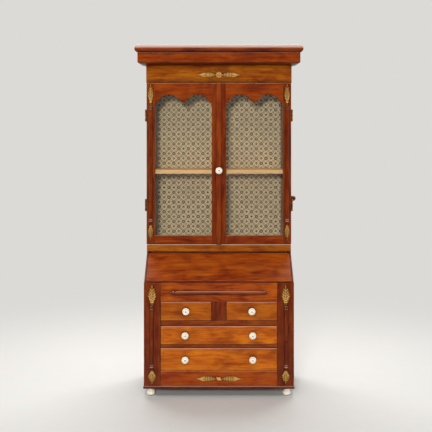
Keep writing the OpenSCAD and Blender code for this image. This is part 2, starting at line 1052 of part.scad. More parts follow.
// A turned bone knob on the plane y at (x, z), with its peg behind the plane
module knob(x, y, z, peg_l) {
    r = knob_d / 2;
    rim = r * 0.34;
    dome_r = knob_out * 0.8;
    translate([x, y, z])
        rotate([90, 0, 0])
            difference() {
                rotate_extrude()
                    union() {
                        translate([0, -peg_l])
                            square([spigot_d / 2, peg_l + 1]);
                        square([r * 0.62, 0.8]);
                        square([r * 0.44, knob_out * 0.5]);
                        translate([r - rim, knob_out * 0.56])
                            circle(r = rim);
                        intersection() {
                            translate([0, knob_out - dome_r])
                                circle(r = dome_r);
                            translate([0, knob_out * 0.4])
                                square([r - rim, knob_out]);
                        }
                    }
                translate([0, 0, knob_out + 0.5])
                    sphere(r = 1);
            }
}

// The bone knob of the right door
module door_knob() {
    color(bone)
        knob(0.1, door_y - astragal_out, z_book + door_knob_up, astragal_out - 0.3);
}

// A drawer front that closes the bay from x0 to x1 and z0 to z1, bored for knobs at xs
module drawer_front(x0, x1, z0, z1, xs) {
    y0 = fy + front_set;
    color(orange_wood)
        difference() {
            eased_board(x0 + gap, x1 - gap, y0, y0 + front_t, z0 + gap, z1 - gap);
            for (x = xs)
                knob_bore(x, y0, (z0 + z1) / 2);
        }
}

// A drawer box: two sides, a back and a bottom let in between them
module drawer_box(x0, x1, z0, z1) {
    y0 = fy + front_set + front_t;
    y1 = back_y - gap;
    a = x0 + gap;
    b = x1 - gap;
    zb = z0 + gap;
    zt = z1 - gap - side_drop;
    color(raw_wood) {
        board(a, a + drawer_side_t, y0, y1, zb, zt);
        board(b - drawer_side_t, b, y0, y1, zb, zt);
        board(a + drawer_side_t, b - drawer_side_t, y1 - drawer_side_t, y1, zb, zt);
        board(a + drawer_side_t, b - drawer_side_t, y0, y1 - drawer_side_t, zb + 0.8,
            zb + 0.8 + drawer_bottom_t);
    }
}

// The bone knobs of a drawer front between z0 and z1, at xs
module drawer_knobs(z0, z1, xs) {
    color(bone)
        for (x = xs)
            knob(x, fy + front_set, (z0 + z1) / 2, spigot_l - 0.2);
}

// The parts of the small left drawer
module small_left_front() {
    drawer_front(-bay_x, -block_w / 2, z_top, z_top_t, [-small_x]);
}

module small_left_box() {
    drawer_box(-bay_x, -block_w / 2, z_top, z_top_t);
}

module small_left_knob() {
    drawer_knobs(z_top, z_top_t, [-small_x]);
}

// The parts of the small right drawer
module small_right_front() {
    drawer_front(block_w / 2, bay_x, z_top, z_top_t, [small_x]);
}

module small_right_box() {
    drawer_box(block_w / 2, bay_x, z_top, z_top_t);
}

module small_right_knob() {
    drawer_knobs(z_top, z_top_t, [small_x]);
}

// The parts of the upper long drawer
module upper_drawer_front() {
    drawer_front(-bay_x, bay_x, z_mid, z_mid_t, [-long_knob_x, long_knob_x]);
}

module upper_drawer_box() {
    drawer_box(-bay_x, bay_x, z_mid, z_mid_t);
}

module upper_drawer_knobs() {
    drawer_knobs(z_mid, z_mid_t, [-long_knob_x, long_knob_x]);
}

// The parts of the lower long drawer
module lower_drawer_front() {
    drawer_front(-bay_x, bay_x, z_low, z_low_t, [-long_knob_x, long_knob_x]);
}

module lower_drawer_box() {
    drawer_box(-bay_x, bay_x, z_low, z_low_t);
}

module lower_drawer_knobs() {
    drawer_knobs(z_low, z_low_t, [-long_knob_x, long_knob_x]);
}

desk_sides();
desk_back();
desk_bottom();
base_moulding();
feet();
corner_posts();
bottom_rail();
drawer_rails();
dustboards();
drawer_guides();
centre_divider();
top_rail();
split_spindle();
desk_floor();
lid_stop();
lid_pins();
waist_board();
post_columns();
post_leaves();
rosette_ornaments();
bookcase_sides();
bookcase_boards();
bookcase_back();
lining_paper();
shelf();
shelf_cleats();
frieze_board();
cornice_band();
cornice_cap();
side_peg();
case_hinge_leaves();
lid();
left_door_stiles();
left_door_rails();
left_door_glass();
left_door_column();
left_door_leaves();
left_door_hinges();
right_door_stiles();
right_door_rails();
right_door_glass();
right_door_column();
right_door_leaves();
right_door_hinges();
astragal();
door_knob();
small_left_front();
small_left_box();
small_left_knob();
small_right_front();
small_right_box();
small_right_knob();
upper_drawer_front();
upper_drawer_box();
upper_drawer_knobs();
lower_drawer_front();
lower_drawer_box();
lower_drawer_knobs();
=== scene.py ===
"""Thimble display case: a miniature slant-front bureau bookcase, dressed over its CAD frame."""

import math

import bpy
from bpy.props import FloatProperty, FloatVectorProperty, IntProperty, PointerProperty
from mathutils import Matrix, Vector


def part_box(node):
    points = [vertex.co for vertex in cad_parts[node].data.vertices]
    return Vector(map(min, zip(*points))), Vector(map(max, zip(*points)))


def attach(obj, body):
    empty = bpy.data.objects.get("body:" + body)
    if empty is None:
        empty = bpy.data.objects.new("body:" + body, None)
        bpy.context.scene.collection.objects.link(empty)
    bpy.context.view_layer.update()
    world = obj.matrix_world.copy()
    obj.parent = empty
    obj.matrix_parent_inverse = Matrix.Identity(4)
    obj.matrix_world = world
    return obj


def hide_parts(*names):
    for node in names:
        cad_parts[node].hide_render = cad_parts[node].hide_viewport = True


bl_info = {
    "name": "Thimble display case",
    "version": (1, 0, 0),
    "blender": (4, 5, 0),
    "location": "View3D > Sidebar > Thimble case",
    "description": "Finishes a miniature bureau bookcase: polished woods, carving, bone and glass",
    "category": "Object",
}

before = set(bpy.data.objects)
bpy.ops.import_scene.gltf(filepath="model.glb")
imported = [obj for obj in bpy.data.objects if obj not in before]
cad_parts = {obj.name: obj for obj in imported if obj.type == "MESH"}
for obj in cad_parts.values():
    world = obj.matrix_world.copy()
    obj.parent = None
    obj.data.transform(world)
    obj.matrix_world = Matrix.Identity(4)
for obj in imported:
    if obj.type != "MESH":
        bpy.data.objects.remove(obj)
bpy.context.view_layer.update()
MM = 0.001


def linear(code):
    """The linear colour of an sRGB hex value."""
    parts = [int(code[i : i + 2], 16) / 255 for i in (1, 3, 5)]
    return tuple(c / 12.92 if c <= 0.04045 else ((c + 0.055) / 1.055) ** 2.4 for c in parts)


def rgba(colour):
    """A colour with full opacity, from a linear colour, an sRGB hex value or a grey."""
    if isinstance(colour, str):
        colour = linear(colour)
    if isinstance(colour, (int, float)):
        colour = (colour,) * 3
    return (*colour[:3], 1.0)


# ---------------- settings


def swatch(name, code, description):
    """A colour setting."""
    return FloatVectorProperty(
        name=name, description=description, subtype="COLOR", default=linear(code)
    )


def measure(name, default, least, most, description):
    """A length setting, in metres."""
    return FloatProperty(
        name=name, description=description, default=default, min=least, max=most, unit="LENGTH"
    )


class WoodSettings(bpy.types.PropertyGroup):
    """Colours of the woods."""

    case: swatch("Case", "#873606", "Red-brown mahogany of the doors, sides and cornice")
    post: swatch("Posts", "#742c05", "Dark mahogany of the posts, desk sides and half columns")
    front: swatch("Drawer fronts", "#c06409", "Orange-brown mahogany of the drawer fronts")
    lid: swatch("Fall front", "#9e4406", "Streaked mahogany of the fall front and desk rails")
    gold: swatch("Frieze and waist", "#985009", "Golden-brown mahogany of frieze and waist")
    raw: swatch("Raw wood", "#f4c49a", "Pale unpolished wood of the shelf and the drawer boxes")
    rubbed: swatch("Rubbed arrises", "#c48a60", "Bare wood where the polish is worn through")
    # Painted highlight: the pale colour laid on the arrises that look up
    highlight_colour: swatch("Painted highlight", "#e2c0b2", "Painted highlight on arrises that look up")
    wear: measure("Worn edge", 0.9 * MM, 0.1 * MM, 2 * MM, "Width of the rubbed arrises")


class TrimSettings(bpy.types.PropertyGroup):
    """Colours and sizes of the carving, the bone and the paper."""

    gilt: swatch("Gilding", "#d8942e", "Rubbed gold on the carved leaves")
    bone: swatch("Bone", "#f6ecd9", "Turned bone of the knobs and feet")
    paper: swatch("Paper", "#c0a080", "Ground of the lining paper")
    ink: swatch("Print", "#3a2814", "Rings and dots printed on the lining paper")
    repeat: measure(
        "Pattern repeat", 5.9 * MM, 2 * MM, 20 * MM, "From a ring to the next dot of the paper"
    )
    lobes: IntProperty(
        name="Leaf lobes",
        description="Lobes down each edge of a carved leaf, and rings of a bud",
        default=6,
        min=3,
        max=12,
    )


class StageSettings(bpy.types.PropertyGroup):
    """Floor, light and camera."""

    floor: swatch("Floor", "#dcdad6", "Colour of the floor and of what lies behind it")
    distance: measure("Camera distance", 1.0, 0.3, 5, "From the camera to the posts' face")
    eye: measure("Eye height", 0.3169, 0, 2, "Height of the camera above the floor")


# ---------------- materials


def node(tree, kind, inputs=(), **settings):
    """Adds a node with its settings, and sets or links the inputs given by name or number."""
    made = tree.nodes.new("ShaderNode" + kind)
    for name, value in settings.items():
        setattr(made, name, value)
    for name, value in dict(inputs).items():
        if isinstance(value, bpy.types.NodeSocket):
            tree.links.new(value, made.inputs[name])
        else:
            made.inputs[name].default_value = value
    return made


def blank(name):
    """A new material with an empty node tree."""
    material = bpy.data.materials.new(name)
    material.use_nodes = True
    material.node_tree.nodes.clear()
    return material, material.node_tree


def finish_with(tree, shader):
    """Shows the shader on the surface."""
    node(tree, "OutputMaterial", {"Surface": shader})


def principled(material, inputs):
    """Gives the material a Principled surface with these inputs."""
    tree = material.node_tree
    finish_with(tree, node(tree, "BsdfPrincipled", inputs).outputs["BSDF"])
    return material


def placed(tree):
    """The place on the piece, in metres."""
    return node(tree, "TexCoord").outputs["Object"]


def number(tree, operation, *inputs):
    """A number worked out from others."""
    return node(tree, "Math", dict(enumerate(inputs)), operation=operation).outputs[0]


def product(tree, first, second):
    """Two numbers multiplied."""
    return number(tree, "MULTIPLY", first, second)


def vector(tree, operation, *inputs):
    """A vector worked out from others, or their dot product or length as a number."""
    made = node(tree, "VectorMath", dict(enumerate(inputs)), operation=operation)
    return made.outputs["Value" if operation in ("DOT_PRODUCT", "LENGTH") else "Vector"]


def spread(tree, value, low, high, least, most, kind="LINEAR"):
    """The value drawn from one range to another, and held at its ends."""
    limits = {"From Min": low, "From Max": high, "To Min": least, "To Max": most}
    made = node(tree, "MapRange", {"Value": value, **limits}, interpolation_type=kind)
    return made.outputs["Result"]


def mixed(tree, share, first, second, kind="MIX"):
    """The first colour turned into the second by a share."""
    inputs = {"Factor": share, "A": first, "B": second}
    return node(tree, "Mix", inputs, data_type="RGBA", blend_type=kind).outputs["Result"]


def multiplied(tree, share, first, second):
    """The first colour darkened by the second one."""
    return mixed(tree, share, first, second, "MULTIPLY")


def ramp(tree, factor, *stops):
    """A colour ramp with (position, colour) stops."""
    made = node(tree, "ValToRGB", {"Fac": factor})
    colours = made.color_ramp.elements
    for element, (place, colour) in zip(colours, (stops[0], stops[-1])):
        element.position, element.color = place, rgba(colour)
    for place, colour in stops[1:-1]:
        colours.new(place).color = rgba(colour)
    return made.outputs["Color"]


def noise(tree, place, scale, detail):
    """Plain noise, the same in all directions."""
    return node(tree, "TexNoise", {"Vector": place, "Scale": scale, "Detail": detail}).outputs


def eased(tree, radius, samples):
    """The normal rounded over arrises and in corners."""
    return node(tree, "Bevel", {"Radius": radius}, samples=samples).outputs["Normal"]


def bumped(tree, height, strength, deep, **normal):
    """The normal tilted by small relief."""
    inputs = {"Height": height, "Strength": strength, "Distance": deep, **normal}
    return node(tree, "Bump", inputs).outputs["Normal"]


def open_corners(tree, reach):
    """1 in the open, falling towards 0 in corners and cuts narrower than the reach."""
    return node(tree, "AmbientOcclusion", {"Distance": reach}, samples=8).outputs["AO"]


def shade(colour, amount):
    """The colour made darker, below 1, or lighter, above 1."""
    return rgba([min(1, c * amount) for c in colour])


def tint(colour, red, green, blue):
    """The colour with each channel multiplied."""
    return rgba([min(1, c * share) for c, share in zip(colour, (red, green, blue))])


def stretched_noise(tree, place, grain, along, across, detail=4.0, twist=0.0, shift=0.0):
    """Noise whose spots are so long along the grain and so wide across it, in millimetres."""
    inputs = {
        "Vector": place,
        "Scale": [1000 / (along if axis == grain else across) for axis in "XYZ"],
        "Location": (shift, shift * 1.7, shift * 2.3),
    }
    drawn = node(tree, "Mapping", inputs).outputs[0]
    inputs = {"Vector": drawn, "Scale": 1.0, "Detail": detail, "Distortion": twist}
    return node(tree, "TexNoise", inputs).outputs["Fac"]


def polished_mahogany(
    name, grain, colour, seed, contrast=0.8, gloss=0.3, bleached=0.15, grimy=-0.1
):
    """French-polished mahogany, planed and rubbed: shellac gives a soft shine over ribbon figure
    and clouds, and dark fibres and pores run with the grain. Handled arrises are worn to the bare
    wood. Arrises that look up get a painted highlight; painted shade darkens the arrises and faces
    that look down, and the corners, where some dark wax lies too."""
    wood = bpy.context.scene.case_woods
    material, tree = blank(name)
    place = placed(tree)
    # Ribbon figure 3 mm wide and 40 mm long over clouds of 9 by 24 mm; fibres 0.3 mm wide,
    # drawn 0.8 mm wide to show
    figure = stretched_noise(tree, place, grain, 40, 3, 5.0, 0.9, seed)
    clouds = stretched_noise(tree, place, grain, 24, 9, 3.0, 0.8, seed + 3)
    fibre = stretched_noise(tree, place, grain, 18, 0.8, 3.0, 0.2, seed + 5)
    pores = stretched_noise(tree, place, grain, 4, 0.45, 2.0, 0.0, seed + 9)
    stain = stretched_noise(tree, place, grain, 30, 16, 3.0, 0.4, seed + 13)
    flame = number(tree, "MULTIPLY_ADD", figure, 0.5, product(tree, clouds, 0.5))
    # The dark bands of the figure are redder than the pale ones, which lean to gold
    low, high = 1 - 0.42 * contrast, 1 + 0.28 * contrast
    toned = ramp(
        tree,
        flame,
        (0.38, tint(colour, low, low**2, low**3)),
        (0.47, tint(colour, 0.92, 0.86, 0.8)),
        (0.53, tint(colour, 1.05, 1.06, 1.0)),
        (0.62, tint(colour, high, high**2, high)),
    )
    for share, marks, dark, pale, colour_of_marks in (
        (0.7, fibre, 0.32, 0.58, (0.62, 0.46, 0.36)),
        (0.5, stain, 0.34, 0.5, (0.42, 0.28, 0.2)),
        (0.5, pores, 0.3, 0.4, (0.36, 0.24, 0.18)),
    ):
        shown = ramp(tree, marks, (dark, colour_of_marks), (pale, 1))
        toned = multiplied(tree, share, toned, shown)
    rounded = eased(tree, wood.wear, 6)
    true = node(tree, "NewGeometry").outputs["Normal"]
    # 1 where the wear has rounded an arris or filled a corner, 0 on the flat
    near = spread(tree, vector(tree, "DOT_PRODUCT", rounded, true), 0.995, 0.82, 0.0, 1.0)
    up = node(tree, "SeparateXYZ", {"Vector": rounded}).outputs["Z"]
    # Wear stays off the arrises that look down, which get painted shade instead
    patchy = spread(tree, clouds, 0.35, 0.6, 0.08, 0.4)
    side = spread(tree, up, grimy, grimy + 0.2, 0.0, 1.0)
    worn = product(tree, product(tree, near, patchy), side)
    toned = mixed(tree, worn, toned, rgba(wood.rubbed))
    # Painted highlight, strongest on the rounds that look up; level faces get little of it
    painted_highlight = ramp(tree, up, (bleached, 0), (0.4 * bleached + 0.6, 0.8), (1.0, 0.12))
    toned = mixed(tree, painted_highlight, toned, rgba(wood.highlight_colour))
    # Painted shade: arrises that look down are darkened nearly to black
    grime_and_shade = product(tree, near, spread(tree, up, grimy, grimy - 0.3, 0.0, 0.85))
    toned = mixed(tree, grime_and_shade, toned, rgba("#1c0903"))
    # Painted shade within 7 mm of corners and under overhangs, with some dark wax in the joints
    wax_and_shade = ramp(tree, open_corners(tree, 7 * MM), (0.45, (0.1, 0.05, 0.03)), (0.9, 1))
    toned = multiplied(tree, 0.9, toned, wax_and_shade)
    # Painted shade: faces that look down are darkened
    toned = multiplied(tree, 1.0, toned, spread(tree, up, -0.1, -0.7, 1.0, 0.4))
    inputs = {
        "Base Color": toned,
        "Roughness": spread(tree, stain, 0.3, 0.7, gloss + 0.14, gloss),
        "IOR": 1.5,
        "Specular IOR Level": 0.24,
        "Normal": bumped(tree, pores, 0.2, 0.06 * MM, Normal=rounded),
    }
    return principled(material, inputs)


def raw_limewood(name, grain, colour, seed):
    """Sawn and unpolished lime or pine: dry and matt, pale, with faint straight growth lines."""
    material, tree = blank(name)
    place = placed(tree)
    lines = stretched_noise(tree, place, grain, 70, 2.2, 4.0, 0.3, seed)
    fibre = stretched_noise(tree, place, grain, 9, 0.6, 2.0, 0.0, seed + 4)
    tones = ((0.3, 0.72), (0.5, 0.96), (0.7, 1.08))
    tone = ramp(tree, lines, *((stop, shade(colour, amount)) for stop, amount in tones))
    fibres = ramp(tree, fibre, (0.3, (0.8, 0.74, 0.68)), (0.6, 1))
    rounded = eased(tree, 0.4 * MM, 4)
    inputs = {
        "Base Color": multiplied(tree, 0.6, tone, fibres),
        "Roughness": 0.72,
        "IOR": 1.5,
        "Normal": bumped(tree, fibre, 0.4, 0.08 * MM, Normal=rounded),
    }
    return principled(material, inputs)


def rubbed_gilding(name, colour, ground):
    """Oil gilding on carved wood: the cuts hold dark wax and painted shade, and the stained ground
    shows at the foot of the relief; the gold darkens down the flanks as painted shade, and the
    crests carry a pale painted highlight."""
    material, tree = blank(name)
    relief = node(tree, "Attribute", attribute_name="relief").outputs["Fac"]
    flakes = stretched_noise(tree, placed(tree), "Z", 1.6, 1.2, 4.0, 0.2, 3.0)
    uneven = number(tree, "MULTIPLY_ADD", flakes, 0.3, -0.15)
    height = number(tree, "ADD", relief, uneven)
    # By height on the relief: stained ground at the foot, painted shade down the flanks, a painted
    # highlight at the crest
    tone = ramp(
        tree,
        height,
        (0.06, ground),
        (0.24, shade(colour, 0.34)),
        (0.55, shade(colour, 0.72)),
        (0.98, "#f0cb84"),
    )
    wax_and_shade = ramp(tree, open_corners(tree, 1.2 * MM), (0.3, (0.1, 0.05, 0.02)), (0.8, 1))
    inputs = {
        "Base Color": multiplied(tree, 0.9, tone, wax_and_shade),
        "Metallic": spread(tree, height, 0.2, 0.5, 0.0, 0.35),
        "Roughness": 0.42,
        "Normal": bumped(tree, flakes, 0.3, 0.1 * MM),
    }
    return principled(material, inputs)


def turned_bone(name, colour):
    """Bone turned on a lathe and polished: warm white, a little see-through, with short dark
    pores, darker yellow-brown in the hollows and a little paler on the ridges, and brown with
    grime in the grooves and the pin hole."""
    material, tree = blank(name)
    # Pores are 0.1 mm wide, drawn 0.3 mm wide and 1.5 mm long so that they show
    pores = stretched_noise(tree, placed(tree), "Z", 1.5, 0.3, 2.0, 0.0, 7.0)
    height = node(tree, "NewGeometry").outputs["Pointiness"]
    tone = ramp(tree, height, (0.4, "#b08a58"), (0.485, colour), (0.56, shade(colour, 1.06)))
    speck = ramp(tree, pores, (0.27, (0.6, 0.48, 0.34)), (0.36, 1))
    grime_and_shade = ramp(tree, open_corners(tree, 1.6 * MM), (0.3, (0.1, 0.04, 0.02)), (0.8, 1))
    toned = multiplied(tree, 0.9, multiplied(tree, 0.6, tone, speck), grime_and_shade)
    inputs = {
        "Base Color": toned,
        "Roughness": 0.28,
        "IOR": 1.54,
        "Subsurface Weight": 0.15,
        "Subsurface Radius": (1.0, 0.7, 0.4),
        "Subsurface Scale": 0.6 * MM,
    }
    return principled(material, inputs)


def aged_brass(name):
    """Rolled brass sheet and wire, unlacquered: dulled to brown with clean rubbed patches."""
    material, tree = blank(name)
    tarnish = stretched_noise(tree, placed(tree), "Z", 5, 2.5, 5.0, 0.4, 2.0)
    inputs = {
        "Base Color": ramp(tree, tarnish, (0.34, "#7a5426"), (0.5, "#b98c48"), (0.66, "#e0b870")),
        "Metallic": 1.0,
        "Roughness": spread(tree, tarnish, 0.3, 0.7, 0.55, 0.28),
        "Normal": eased(tree, 0.15 * MM, 4),
    }
    return principled(material, inputs)


def drawn_glass(name):
    """Old drawn sheet glass: clear with a trace of green, polished by the melt, slightly wavy.
    Lamps shine through it without the dark shadow that a bent ray would leave."""
    material, tree = blank(name)
    # Waves of the draw are about 30 mm apart and a few microns deep
    waves = stretched_noise(tree, placed(tree), "Z", 90, 28, 1.0, 0.3, 1.0)
    inputs = {
        "Base Color": rgba("#f2f7f3"),
        "Roughness": 0.02,
        "IOR": 1.5,
        "Transmission Weight": 1.0,
        "Normal": bumped(tree, waves, 0.12, 0.3 * MM),
    }
    pane = node(tree, "BsdfPrincipled", inputs).outputs["BSDF"]
    clear = node(tree, "BsdfTransparent", {"Color": rgba("#f2f6f2")}).outputs["BSDF"]
    ray = node(tree, "LightPath").outputs["Is Shadow Ray"]
    both = node(tree, "MixShader", {"Fac": ray, 1: pane, 2: clear})
    finish_with(tree, both.outputs["Shader"])
    return material


def printed_paper(name):
    """Block-printed lining paper, pasted on the back: matt and browned, with rings and dots by
    turns on a square net and a pale lattice between them."""
    trim = bpy.context.scene.case_trim
    material, tree = blank(name)
    place = placed(tree)
    # The net is set out from the first column and row of motifs at the left of the lower pane
    first = Vector((-72.5, 0, 240.5)) * MM
    step = trim.repeat
    inputs = {
        "Vector": place,
        "Location": (0.5 - first.x / step, 0.5, 0.5 - first.z / step),
        "Scale": (1 / step, 0, 1 / step),
    }
    net = node(tree, "Mapping", inputs).outputs[0]
    cell = vector(tree, "FLOOR", net)
    middle = vector(tree, "SUBTRACT", vector(tree, "FRACTION", net), (0.5, 0.0, 0.5))
    # The pull of the block is uneven, so each print wanders by a few hundredths of the repeat
    flow = noise(tree, place, 420.0, 2.0)["Color"]
    wander = vector(tree, "SUBTRACT", flow, (0.5, 0.5, 0.5))
    wander = vector(tree, "MULTIPLY", wander, (0.22, 0, 0.22))
    middle = vector(tree, "ADD", middle, wander)
    flat = vector(tree, "MULTIPLY", middle, (1, 0, 1))
    radius = vector(tree, "LENGTH", flat)
    # Distance along and up the net, which is equal all round a diamond
    diamond = vector(tree, "DOT_PRODUCT", vector(tree, "ABSOLUTE", flat), (1, 0, 1))
    across = node(tree, "SeparateXYZ", {"Vector": cell}).outputs
    total = number(tree, "ADD", across["X"], across["Z"])
    odd = number(tree, "FLOORED_MODULO", total, 2.0)
    ring = band(tree, radius, 0.27, 0.14)
    dot = band(tree, radius, 0.0, 0.24)
    motif = node(tree, "Mix", {"Factor": odd, "A": ring, "B": dot}, data_type="FLOAT")
    lattice = product(tree, band(tree, diamond, 0.52, 0.16), 0.62)
    fade = noise(tree, place, 55.0, 3.0)["Fac"]
    strength = spread(tree, fade, 0.35, 0.65, 0.6, 1.0)
    ground = ramp(tree, fade, (0.35, shade(trim.paper, 0.84)), (0.65, shade(trim.paper, 1.1)))
    toned = mixed(tree, lattice, ground, rgba("#ffe6c2"))
    inked = product(tree, motif.outputs["Result"], strength)
    toned = mixed(tree, inked, toned, rgba(trim.ink))
    tooth = noise(tree, place, 2500.0, 2.0)["Fac"]
    normal = bumped(tree, tooth, 0.2, 0.05 * MM)
    return principled(material, {"Base Color": toned, "Roughness": 0.85, "Normal": normal})


def band(tree, value, centre, half):
    """1 where the value is at the centre, falling softly to 0 at the half width."""
    off = number(tree, "ABSOLUTE", number(tree, "SUBTRACT", value, centre))
    return spread(tree, off, half, half * 0.35, 0.0, 1.0, "SMOOTHSTEP")


def nail_iron(name):
    """Cut iron pins, driven and left: brown-black oxide, dry."""
    material, tree = blank(name)
    rust = stretched_noise(tree, placed(tree), "Z", 0.8, 0.6, 3.0, 0.0, 4.0)
    tone = ramp(tree, rust, (0.35, "#160b06"), (0.65, "#3c1c0d"))
    return principled(material, {"Base Color": tone, "Metallic": 0.4, "Roughness": 0.6})


def give(piece, material):
    """Gives a piece one material."""
    piece.data.materials.clear()
    piece.data.materials.append(material)


def dress(material, *nodes):
    """Gives CAD nodes a material."""
    for name in nodes:
        give(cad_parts[name], material)


# ---------------- modelling


def start():
    """Leaves edit mode and selects nothing."""
    if bpy.context.object and bpy.context.object.mode != "OBJECT":
        bpy.ops.object.mode_set(mode="OBJECT")
    bpy.ops.object.select_all(action="DESELECT")


def edit_all():
    """Opens the piece in hand in edit mode with everything selected."""
    if bpy.context.object.mode != "EDIT":
        bpy.ops.object.mode_set(mode="EDIT")
    bpy.ops.mesh.select_all(action="SELECT")


def take(*pieces):
    """Selects pieces, the first of them as the one in hand."""
    start()
    for piece in pieces:
        piece.select_set(True)
    bpy.context.view_layer.objects.active = pieces[0]


def rename(piece, name):
    """Names a piece and its mesh."""
    piece.name = name
    piece.data.name = name
    return piece


def box_of(name):
    """The low and the high corner of a CAD node."""
    return (Vector(corner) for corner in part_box(name))


def settle(name, material, body, replaced=(), smooth=40):
    """Ends the piece in hand: merged, facing out, smooth, named, dressed and riding its body."""
    edit_all()
    bpy.ops.mesh.remove_doubles(threshold=0.004 * MM)
    bpy.ops.mesh.normals_make_consistent(inside=False)
    bpy.ops.object.mode_set(mode="OBJECT")
    bpy.ops.object.transform_apply(location=True, rotation=True, scale=True)
    bpy.ops.object.shade_smooth_by_angle(angle=math.radians(smooth))
    piece = rename(bpy.context.object, name)
    give(piece, material)
    if body:
        claim(piece, body, replaced)
    return piece


def claim(piece, body, replaced=()):
    """Ties a piece to its body and hides the CAD nodes it stands for."""
    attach(piece, body)
    if replaced:
        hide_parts(*replaced)


def copy_piece(piece, name, move=(0, 0, 0), scale=(1, 1, 1), turn=0.0):
    """A copy with its own mesh, scaled and turned about the origin, and moved, in edit mode."""
    take(piece)
    bpy.ops.object.duplicate(linked=False)
    made = rename(bpy.context.object, name)
    edit_all()
    bpy.ops.transform.resize(value=scale, center_override=ORIGIN)
    if turn:
        bpy.ops.transform.rotate(value=turn, orient_axis="Y", center_override=ORIGIN)
    bpy.ops.transform.translate(value=move)
    bpy.ops.mesh.normals_make_consistent(inside=False)
    bpy.ops.object.mode_set(mode="OBJECT")
    return made


ORIGIN = (0, 0, 0)


def join_pieces(pieces, name):
    """Joins pieces into the first one."""
    take(*pieces)
    bpy.ops.object.join()
    return rename(bpy.context.object, name)


def turn_profile(outline, at, along, side, arc=math.tau, steps=40):
    """Draws (radius, height) points as an edge chain and spins it about the axis, in edit mode.

    along is the axis and side the direction in which the radii are drawn. A half turn is closed
    with a flat face along the axis."""
    at, along, side = Vector(at), Vector(along), Vector(side)
    start()
    first = at + along * outline[0][1] * MM + side * outline[0][0] * MM
    bpy.ops.mesh.primitive_plane_add(size=MM, location=first)
    bpy.ops.object.transform_apply(location=True)
    edit_all()
    bpy.ops.mesh.merge(type="CENTER")
    bpy.ops.mesh.select_mode(type="VERT")
    for last, here in zip(outline, outline[1:]):
        move = along * (here[1] - last[1]) * MM + side * (here[0] - last[0]) * MM
        bpy.ops.mesh.extrude_region_move(TRANSFORM_OT_translate={"value": move})
    bpy.ops.mesh.select_all(action="SELECT")
    bpy.ops.mesh.spin(steps=steps, angle=arc, center=at, axis=along)
    bpy.ops.mesh.select_all(action="SELECT")
    bpy.ops.mesh.remove_doubles(threshold=0.01 * MM)
    if arc < math.tau:
        bpy.ops.mesh.select_all(action="DESELECT")
        bpy.ops.mesh.select_non_manifold()
        bpy.ops.mesh.edge_face_add()


# ---------------- turned bone


# How far a knob stands off the wood, and its outline as (radius, height above the wood), in
# millimetres
KNOB_REACH = 6.5
KNOB = (
    (0, -1.8), (1.05, -1.8), (1.05, 0), (2.2, 0), (2.48, 0.3), (2.3, 0.75), (1.8, 1.05),
    (1.7, 1.8), (2.1, 2.25), (3.1, 2.36), (3.72, 2.8), (4.0, 3.6), (3.86, 4.3), (3.4, 4.82),
    (2.95, 4.86), (2.66, 4.84), (2.6, 5.4), (2.3, 5.86), (1.7, 6.2), (1.05, 6.38), (0.8, 6.34),
    (0.66, 6.1), (0.62, 4.9), (0, 4.8),
)


class CASE_OT_bone_knobs(bpy.types.Operator):
    """Turn the bone knobs of the drawers and the door"""

    bl_idname = "thimble_case.bone_knobs"
    bl_label = "Bone knobs"

    def execute(self, context):
        bone = turned_bone("Turned bone", context.scene.case_trim.bone)
        turn_profile(KNOB, ORIGIN, (0, -1, 0), (1, 0, 0))
        model = settle("knob_model", bone, None, smooth=50)
        for name, body in KNOB_BODIES.items():
            low, high = box_of(name)
            middle = (low + high) / 2
            radius = (high.z - low.z) / 2
            half = (high.x - low.x) / 2 - radius
            sides = (-1, 1) if half > radius else (0,)
            made = []
            for side in sides:
                face = (middle.x + side * half, low.y + KNOB_REACH * MM, middle.z)
                made.append(copy_piece(model, name + "_turned", face))
            claim(join_pieces(made, name + "_turned"), body, (name,))
        bpy.data.objects.remove(model)
        return {"FINISHED"}


KNOB_BODIES = {
    "door_knob": "right_door",
    "small_left_knob": "small_left_drawer",
    "small_right_knob": "small_right_drawer",
    "upper_drawer_knobs": "upper_drawer",
    "lower_drawer_knobs": "lower_drawer",
}

# Diameter of the solid that stands for a foot, and foot outline as (radius, height), in
# millimetres
FOOT_DIAMETER = 9.6
FOOT = (
    (0, 0), (2.7, 0), (3.5, 0.4), (4.3, 1.3), (4.72, 2.4), (4.77, 3.2), (4.5, 4.2), (3.9, 5.2),
    (3.2, 6.0), (2.75, 6.6), (2.6, 7.2), (2.9, 7.5), (3.1, 8.0), (3.15, 8.7), (0, 8.75),
)


class CASE_OT_bone_feet(bpy.types.Operator):
    """Turn the four bone bun feet"""

    bl_idname = "thimble_case.bone_feet"
    bl_label = "Bone feet"

    def execute(self, context):
        bone = turned_bone("Turned bone of the feet", context.scene.case_trim.bone)
        low, high = box_of("feet")
        inset = FOOT_DIAMETER / 2 * MM
        turn_profile(FOOT, ORIGIN, (0, 0, 1), (1, 0, 0))
        model = settle("foot_model", bone, None, smooth=50)
        made = [
            copy_piece(model, "feet_turned", (x, y, 0))
            for x in (low.x + inset, high.x - inset)
            for y in (low.y + inset, high.y - inset)
        ]
        claim(join_pieces(made, "feet_turned"), "case", ("feet",))
        bpy.data.objects.remove(model)
        return {"FINISHED"}


# ---------------- turned wood


def column_outline(radius, height):
    """Half column: a plain shaft between two collars and two thin rings, in millimetres."""
    foot = (
        (0, 0), (1, 0), (1.0, 1.9), (0.93, 2.4), (0.78, 2.7), (0.78, 3.0), (0.93, 3.2),
        (0.95, 3.7), (0.9, 4.2), (0.8, 4.5), (0.84, 6.0),
    )
    lower = [(r * radius, h) for r, h in foot]
    upper = [(r, height - h) for r, h in reversed(lower)]
    return lower + [(0.87 * radius, height / 2)] + upper


